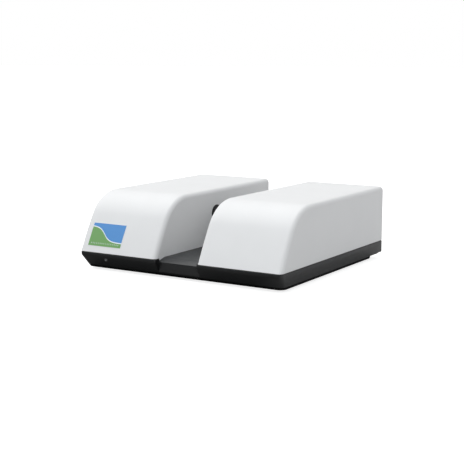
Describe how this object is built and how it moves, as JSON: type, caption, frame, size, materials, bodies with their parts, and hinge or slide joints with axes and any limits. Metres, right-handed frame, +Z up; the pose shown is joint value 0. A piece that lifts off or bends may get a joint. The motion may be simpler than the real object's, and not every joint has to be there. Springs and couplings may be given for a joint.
{
  "type": "uv-vis spectrophotometer",
  "caption": "Bench absorbance spectrometer: pale moulded pods on a black base, with an open sample deck and cuvette holder between them.",
  "frame": {"origin": "on the table, under the middle of the instrument's base", "axes": "+X to the right seen from the front, +Y towards the back, +Z up"},
  "size_m": [0.5, 0.472, 0.1638],
  "materials": {
    "base_plastic": "fine grained",
    "pan_metal": "powder coated",
    "rubber": "matt",
    "zinc_steel": "plated",
    "bench_plate": "milled",
    "pod_plastic": "smooth satin",
    "panel_paint": "powder coated",
    "deck_plastic": "satin",
    "label_print": "satin print",
    "indicator_lens": "clear gloss",
    "bezel_black": "satin",
    "quartz": "polished",
    "anodised_black": "anodised",
    "knob_plastic": "satin",
    "fan_plastic": "satin",
    "inlet_plastic": "satin",
    "brass_pins": "polished",
    "cast_alloy": "cast",
    "lamp_glass": "clear",
    "ceramic": "fired",
    "filter_glass": "polished",
    "motor_steel": "plain",
    "board_green": "lacquered",
    "core_steel": "varnished",
    "grating_face": "ruled",
    "chip_plastic": "moulded"
  },
  "bodies": {
    "chassis": {"base_tray": "base_plastic", "bottom_pan": "pan_metal", "rubber_feet": "rubber", "base_screws": "zinc_steel", "optical_bench": "bench_plate", "left_cover": "pod_plastic", "right_cover": "pod_plastic", "left_rear_panel": "panel_paint", "right_rear_panel": "panel_paint", "panel_screws": "zinc_steel", "sample_deck": "deck_plastic", "front_label": "label_print", "power_indicator": "indicator_lens", "left_beam_port": "bezel_black", "right_beam_port": "bezel_black", "left_window": "quartz", "right_window": "quartz", "holder_base": "anodised_black", "holder_column": "anodised_black", "cell_holder": "anodised_black", "fan_frame": "fan_plastic", "fan_guard": "zinc_steel", "power_inlet": "inlet_plastic", "inlet_pins": "brass_pins", "rocker_frame": "inlet_plastic", "usb_port": "zinc_steel", "lamp_house": "cast_alloy", "lamp_house_lid": "cast_alloy", "deuterium_socket": "ceramic", "deuterium_lamp": "lamp_glass", "halogen_socket": "ceramic", "halogen_lamp": "lamp_glass", "condenser_lens": "quartz", "source_lens": "quartz", "source_lens_mount": "anodised_black", "wheel_motor": "motor_steel", "shutter_solenoid": "motor_steel", "lamp_driver_board": "board_green", "power_board": "board_green", "main_board": "board_green", "power_transformer": "core_steel", "polychromator_housing": "cast_alloy", "polychromator_lid": "cast_alloy", "polychromator_posts": "bench_plate", "entrance_slit": "zinc_steel", "receiver_lens": "quartz", "grating": "grating_face", "grating_mount": "anodised_black", "detector_array": "chip_plastic", "detector_board": "board_green"},
    "fan": {"fan_rotor": "fan_plastic"},
    "rocker": {"power_rocker": "inlet_plastic"},
    "fuse_tray": {"fuse_drawer": "inlet_plastic"},
    "plunger": {"cell_plunger": "zinc_steel"},
    "knob_left": {"left_knob": "knob_plastic"},
    "knob_right": {"right_knob": "knob_plastic"},
    "wheel": {"filter_wheel": "anodised_black", "calibration_filters": "filter_glass"},
    "shutter": {"shutter_blade": "anodised_black"}
  },
  "joints": [
    {"name": "fan_spin", "type": "hinge", "parent": "chassis", "child": "fan", "pos_m": [-0.195, 0.2225, 0.124], "axis": [0, 1, 0], "continuous": true},
    {"name": "power_rocker_tilt", "type": "hinge", "parent": "chassis", "child": "rocker", "pos_m": [-0.14, 0.227, 0.072], "axis": [1, 0, 0], "range_deg": [0, 16]},
    {"name": "fuse_drawer_slide", "type": "slide", "parent": "chassis", "child": "fuse_tray", "axis": [0, 1, 0], "range_m": [0, 0.018]},
    {"name": "cell_plunger_slide", "type": "slide", "parent": "chassis", "child": "plunger", "axis": [0, 1, 0], "range_m": [0, 0.0008], "stiffness_N_per_m": 300, "springref_m": -0.002},
    {"name": "left_knob_turn", "type": "hinge", "parent": "chassis", "child": "knob_left", "pos_m": [-0.027, 0, 0.05], "axis": [0, 0, 1], "range_deg": [0, 90]},
    {"name": "right_knob_turn", "type": "hinge", "parent": "chassis", "child": "knob_right", "pos_m": [0.031, 0, 0.05], "axis": [0, 0, 1], "range_deg": [0, 90]},
    {"name": "filter_wheel_spin", "type": "hinge", "parent": "chassis", "child": "wheel", "pos_m": [-0.092, 0, 0.092], "axis": [1, 0, 0], "continuous": true},
    {"name": "shutter_swing", "type": "hinge", "parent": "chassis", "child": "shutter", "pos_m": [-0.118, 0.026, 0.095], "axis": [1, 0, 0], "range_deg": [0, 35], "stiffness_Nm_per_rad": 0.005, "springref_deg": -28.65}
  ]
}
